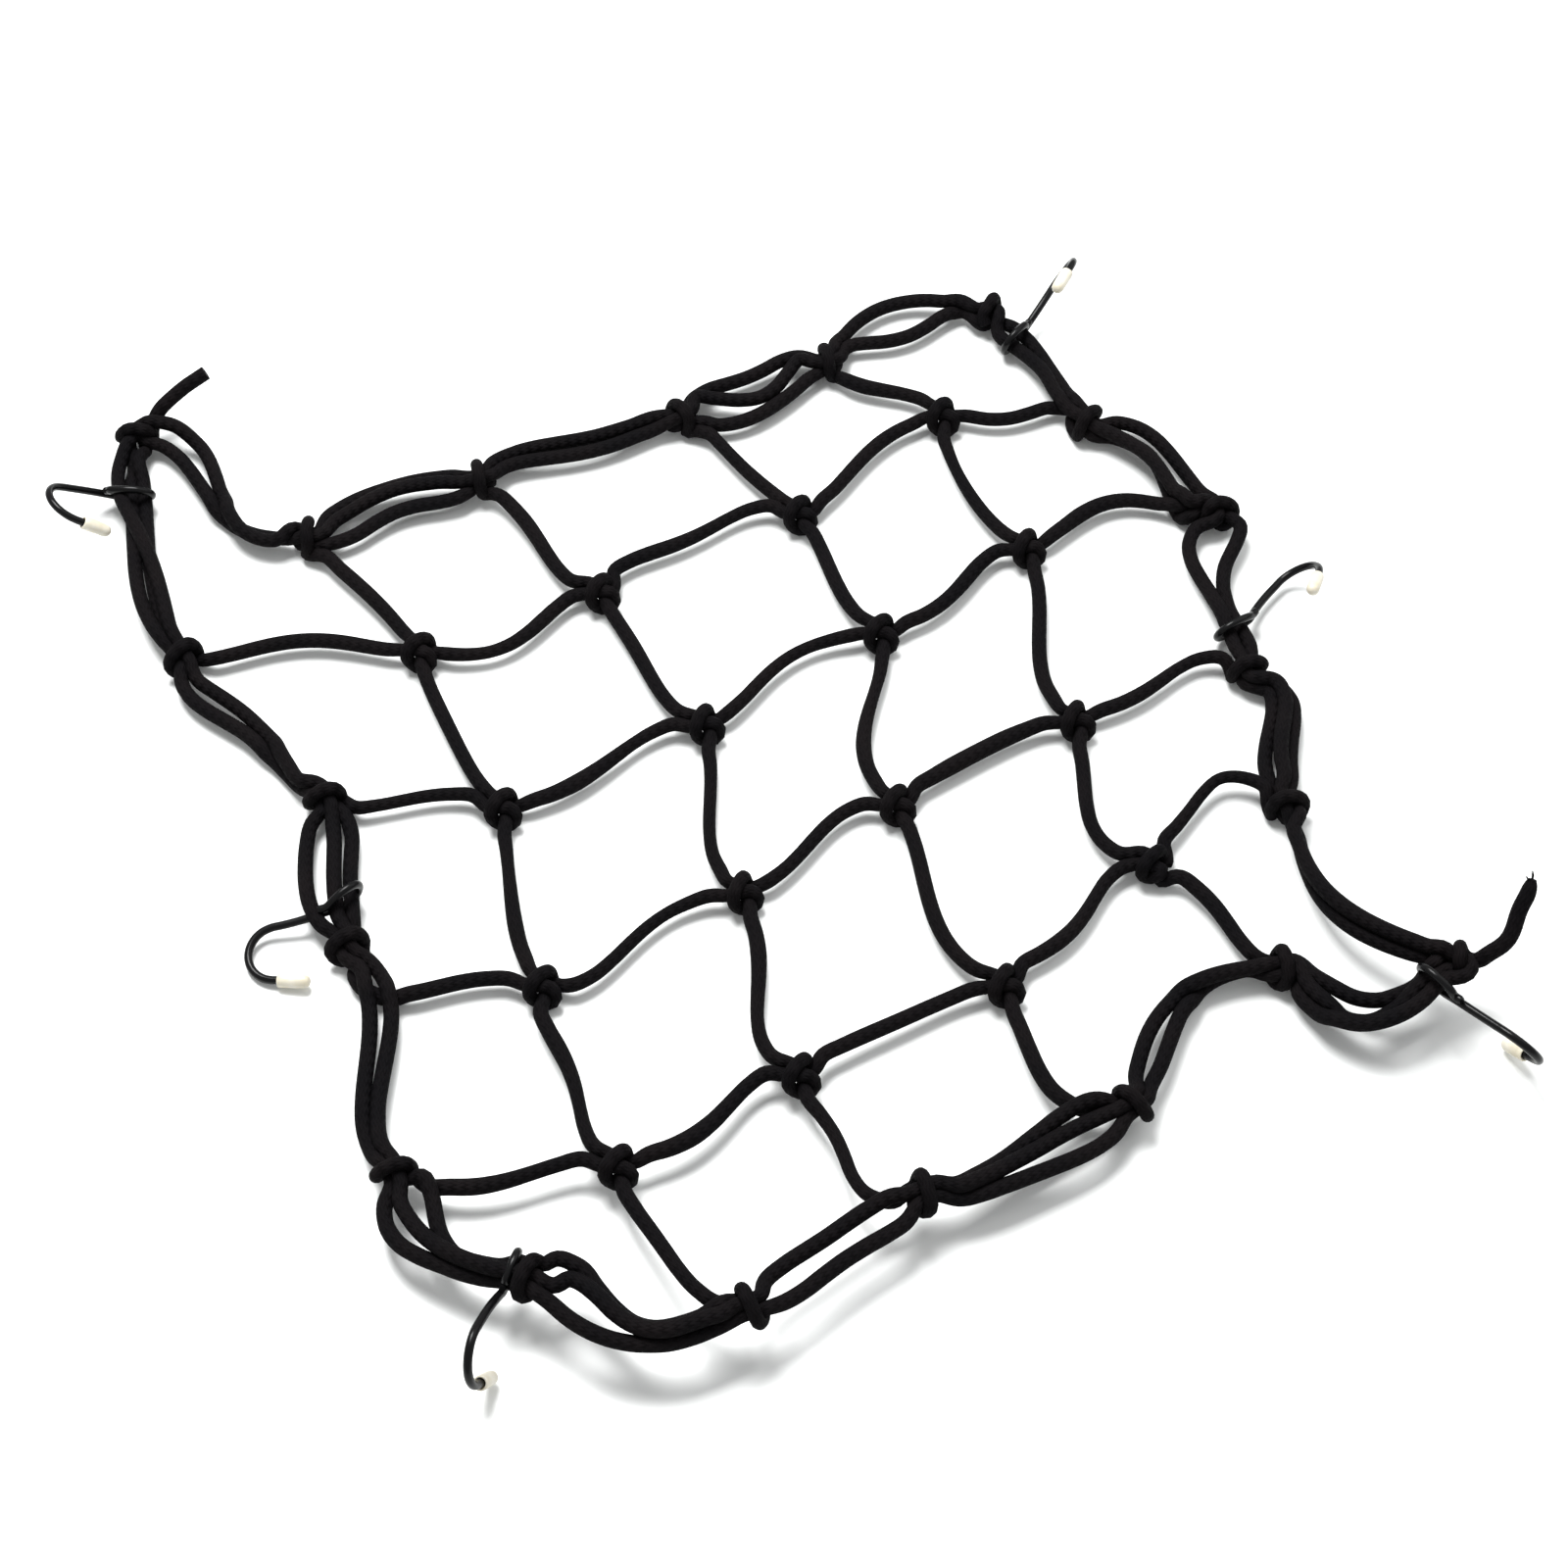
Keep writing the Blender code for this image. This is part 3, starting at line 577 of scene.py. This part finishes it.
shader.inputs["Specular IOR Level"].default_value = 0.05

# The mesh cord, in three pieces of the same cord: the net's own run, and the two free
# ends that are left over past the first and the last knot, one cut clean with a hot
# knife and the other frayed.
TAIL_RINGS = 25  # rings of the mesh in a free end
CORD_SIDES = 14
mesh_cord = swept("mesh_cord", mesh_line[TAIL_RINGS:-TAIL_RINGS], CORD_SIDES)
mesh_cord.data.materials.append(cord_finish)
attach(mesh_cord, "root")
legs = [f"column_{column}_leg_{n}" for column in range(1, 5) for n in range(1, 6)]
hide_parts("row_1", "row_2", "row_3", "row_4", *legs)

# The loose yarns of the frayed end, each through three points: (right, far, up) from it.
YARN, YARN_TIP = 0.45, 0.2
FRAYS = (
    ((0.0, 0.0, -1.5), (0.0, 0.4, 0.6), (-0.1, 0.8, 2.4)),
    ((0.3, 0.2, -1.5), (0.7, 0.8, 0.4), (0.5, 1.6, 1.8)),
    ((-0.6, 0.0, -1.5), (-1.3, 0.2, 0.2), (-1.5, 1.2, 0.9)),
    ((-0.3, -0.4, -1.5), (-0.8, 0.0, 0.6), (-1.9, 0.2, 0.8)),
)
frays = []
for number, points in enumerate(FRAYS, 1):
    points = mesh_line[-1, :3] + np.array(points)
    line = evened(np.column_stack([points, np.full(len(points), YARN)]), 0.3)
    line[-1, 3] = YARN_TIP
    fray = swept(f"tail_near_fray_{number}", line, 6)
    fray.data.materials.append(cord_finish)
    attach(fray, "root")
    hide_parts("tail_near")
    frays.append(fray)

# The free ends, each with its whole length from inside its knot.
for node, line, pieces in (
    ("tail_far", mesh_line[: TAIL_RINGS + 1][::-1], []),
    ("tail_near", mesh_line[-TAIL_RINGS - 1 :], frays),
):
    tail = swept(f"{node}_cord", line, CORD_SIDES)
    tail.data.materials.append(cord_finish)
    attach(tail, "root")
    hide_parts(node)

# The edge cord: the same cord, twice round the outside, held by the mesh cord's knots.
edge_cord = swept("edge_cord", edge_line, CORD_SIDES)
edge_cord.data.materials.append(cord_finish)
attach(edge_cord, "root")
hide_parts(*[f"edge_{side}_{n}" for side in SIDES for n in range(1, 6)])

# The hooks are bent from 2.5 mm steel wire with a black coating. The ring is closed
# round the edge cords with its end lapped beside the shank, and the point turns back.
WIRE, SHANK, BEND, POINT = 2.5, 17.0, 8.3, 2.0  # across, long, radius, long to the cap
FLARE = radians(20)  # the bend stops short of a half circle by this much
LAP = 2.5  # of the ring's end beside the shank
IN_CAP = 6.7  # of the point inside its cap
UPRIGHT, LEANING = np.array([0, 0, 1.0]), np.array([-0.23, -0.51, 0.83])
# (side, stretch, how far along, bow, height, half length and half height of the ring, its
# turn in degrees, its lean to the near side from 0 to 1, then the shank's and point's turn,
# rise and roll in degrees, and how far the shank bows towards the point).
HOOKS = (
    ("left", 0, 0.261, -4.6, 7.0, 6.1, 4.8, 153, 0.68, 189, 43, -1, -0.1),
    ("left", 2, 0.711, 2.5, 8.0, 4.5, 4.8, 198, 0.36, 169, -9, -6, 0.4),
    ("left", 4, 0.894, -0.4, 14.5, 4.5, 5.1, 227, 0.76, 226, 34, -78, -0.7),
    ("right", 0, 0.254, -0.2, 6.1, 4.7, 4.8, 27, 0.61, 31, 17, 114, 1.0),
    ("right", 2, 0.751, -3.3, 6.3, 5.0, 4.5, 8, 0.53, 31, -4, 135, -0.9),
    ("near", 4, 0.872, -7.4, 18.1, 5.4, 5.0, 287, 0.77, 286, 16, -65, 0.1),
)
# The ring from its lapped end over the cords and back below them to the shank, in half
# lengths and half heights.
RING = (
    (1.1, 0.72), (0.6, 0.92), (0.0, 1.0), (-0.5, 0.87), (-0.87, 0.5), (-1.0, 0.0),
    (-0.87, -0.5), (-0.5, -0.87), (0.0, -1.0), (0.6, -0.88), (1.1, -0.56), (1.5, -0.25),
)


def hook_line(side, stretch, fraction, bow, height, half_length, half_height, *turns):
    """The middle of the wire: the lapped end, the ring, the shank with a bow of
    sway * sin(pi s), a half circle of radius BEND less the flare, and the straight point."""
    ring_turn, lean, turn, rise, roll, sway = turns
    first, last = (knot_place(*knot) for knot in SIDE_KNOTS[side][stretch : stretch + 2])
    run = (last - first)[:2] / np.linalg.norm((last - first)[:2])
    middle = first + fraction * (last - first) + bow * np.array([-run[1], run[0], 0.0])
    middle[2] = height
    out = np.array([cos(radians(ring_turn)), sin(radians(ring_turn)), 0.0])
    up = lean * LEANING + (1 - lean) * UPRIGHT
    up -= (up @ out) * out
    up /= np.linalg.norm(up)
    across, high = np.array(RING).T
    ring = middle + half_length * np.outer(across, out) + half_height * np.outer(high, up)
    root = ring[-1]
    turn, rise, roll = radians(turn), radians(rise), radians(roll)
    along = np.array([cos(rise) * cos(turn), cos(rise) * sin(turn), sin(rise)])
    level = np.array([-sin(turn), cos(turn), 0.0])
    aside = cos(roll) * level + sin(roll) * np.cross(along, level)
    lap = up - (up @ along) * along
    over = root + (WIRE + 0.3) * lap / np.linalg.norm(lap)  # 0.3 mm clear of the shank
    s = np.linspace(0.12, 1, 7)
    shank = root + SHANK * np.outer(s, along) + sway * np.outer(np.sin(pi * s), aside)
    b = np.linspace(FLARE, pi - FLARE, 10)
    centre = root + SHANK * along + BEND * aside
    bend = centre + BEND * (np.outer(np.sin(b), along) - np.outer(np.cos(b), aside))
    back = -cos(FLARE) * along + sin(FLARE) * aside
    point = bend[-1] + np.outer((POINT / 2, POINT, POINT + IN_CAP), back)
    return np.vstack([over + LAP * along, over, ring, shank, bend, point]), back


# Dipped steel wire: a thin black PVC coat that took a soft gloss as it cured, so the
# wire shows a narrow bright line from the lights and faint ripples 2 mm long.
wire_finish, tree, shader = new_material("PVC-coated steel wire")
place = add(tree, "TexCoord", {})
ripple = add(tree, "TexNoise", {"Scale": 420.0, "Detail": 2.0}, Vector=(place, "Object"))
relief = add(tree, "Bump", {"Strength": 0.35, "Distance": 0.0001}, Height=(ripple, "Fac"))
tree.links.new(relief.outputs["Normal"], shader.inputs["Normal"])
scuffed = add(tree, "TexNoise", {"Scale": 180.0, "Detail": 4.0}, Vector=(place, "Object"))
dull = add(tree, "MapRange", {"To Min": 0.15, "To Max": 0.3}, Value=(scuffed, "Fac"))
tree.links.new(dull.outputs["Result"], shader.inputs["Roughness"])
shader.inputs["Base Color"].default_value = hex_colour("#0c0c0d")
shader.inputs["Specular IOR Level"].default_value = 0.16

for number, hook in enumerate(HOOKS, 1):
    line = evened(hook_line(*hook)[0], 0.8)
    line = np.column_stack([line, np.full(len(line), WIRE)])
    line[[0, -1], 3] = 0.75 * WIRE  # the cut ends are rounded off
    wire = swept(f"hook_{number}_wire", line, 12)
    wire.data.materials.append(wire_finish)
    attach(wire, "root")
    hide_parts(f"hook_{number}")

# The caps: short sleeves of soft cream vinyl, dipped on a rod and pushed on over the cut
# ends of the wire. Vinyl passes some light, and yellows a little in patches.
CAP_SIDES = 20
# Along a cap from its mouth: (distance, half width), in at the bore and round the end.
CAP_PROFILE = (
    (3.0, 1.45), (0.3, 1.45), (0.0, 1.6), (0.0, 1.95), (0.3, 2.1), (2.0, 2.1), (6.8, 2.05),
    (8.2, 1.9), (9.0, 1.45), (9.4, 0.8), (9.5, 0.25),
)
cap_finish, tree, shader = new_material("dipped vinyl")
place = add(tree, "TexCoord", {})
patches = add(tree, "TexNoise", {"Scale": 240.0, "Detail": 2.0}, Vector=(place, "Object"))
cream = add(tree, "ValToRGB", {}, Fac=(patches, "Fac"))
cream_stop, yellowed_stop = cream.color_ramp.elements
cream_stop.position, cream_stop.color = 0.3, hex_colour("#ddd8ca")
yellowed_stop.position, yellowed_stop.color = 0.75, hex_colour("#c9c1aa")
tree.links.new(cream.outputs["Color"], shader.inputs["Base Color"])
shader.inputs["Roughness"].default_value = 0.38
shader.inputs["Subsurface Weight"].default_value = 0.3
shader.inputs["Subsurface Radius"].default_value = (0.9, 0.8, 0.55)
shader.inputs["Subsurface Scale"].default_value = 0.0012


def sleeve(name, mouth, back):
    """The profile turned round the line from the mouth: a ring of points for each of its
    pairs, at mouth + distance * back, as far out as the half width."""
    distances, half_widths = np.array(CAP_PROFILE).T
    level = np.cross(back, (0, 0, 1.0))
    level /= np.linalg.norm(level)
    above = np.cross(back, level)
    turn = np.arange(CAP_SIDES) * 2 * pi / CAP_SIDES
    rays = np.outer(np.cos(turn), level) + np.outer(np.sin(turn), above)
    stations = mouth + np.outer(distances, back)
    rings = stations[:, None] + half_widths[:, None, None] * rays[None]
    mesh = bpy.data.meshes.new(name)
    faces = ring_faces(len(distances), CAP_SIDES)
    mesh.from_pydata((rings.reshape(-1, 3) * MM).tolist(), [], faces)
    mesh.shade_smooth()
    piece = bpy.data.objects.new(name, mesh)
    bpy.context.scene.collection.objects.link(piece)
    return piece


for number, hook in enumerate(HOOKS, 1):
    control, back = hook_line(*hook)
    cap = sleeve(f"cap_{number}_sleeve", control[-1] - back * IN_CAP, back)
    cap.data.materials.append(cap_finish)
    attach(cap, "root")
    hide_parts(f"cap_{number}")

# The floor: a pale, smooth, slightly glossy board, with nothing else in view.
FLOOR_REACH, FLOOR_TOP = 4, -0.0002  # in metres
corners = ((-1, -1), (1, -1), (1, 1), (-1, 1))
corners = [(FLOOR_REACH * x, FLOOR_REACH * y, FLOOR_TOP) for x, y in corners]
floor_mesh = bpy.data.meshes.new("floor")
floor_mesh.from_pydata(corners, [], [(0, 1, 2, 3)])
floor = bpy.data.objects.new("floor", floor_mesh)
bpy.context.scene.collection.objects.link(floor)
floor_finish, tree, shader = new_material("white melamine board")
shader.inputs["Base Color"].default_value = hex_colour("#f6f8f7")
shader.inputs["Roughness"].default_value = 0.35
floor_mesh.materials.append(floor_finish)
floor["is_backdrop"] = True

# Plain soft studio light: a softbox high over the far side, which gives the soft shadows,
# a weaker and wider one on the right, and an even white surround.
world = bpy.data.worlds.new("studio")
world.use_nodes = True
surround = world.node_tree.nodes["Background"]
surround.inputs["Color"].default_value = hex_colour("#ffffff")
surround.inputs["Strength"].default_value = 0.55
bpy.context.scene.world = world
bpy.context.scene.view_settings.view_transform = "Standard"
# (name, where it stands, size across in metres, power in watts)
SOFTBOXES = (
    ("key", (-0.04, 0.5, 1.15), 0.6, 24.0),
    ("fill", (0.9, 0.1, 1.0), 1.2, 4.0),
)
for name, spot, size, power in SOFTBOXES:
    softbox = bpy.data.lights.new(name, "AREA")
    softbox.size = size
    softbox.energy = power
    lamp = bpy.data.objects.new(name, softbox)
    lamp.location = spot
    lamp.rotation_euler = Vector(spot).to_track_quat("Z", "Y").to_euler()
    bpy.context.scene.collection.objects.link(lamp)

boxes = {"cad": cad_box, "visual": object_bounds()}
boxes = {name: [list(corner) for corner in box] for name, box in boxes.items()}
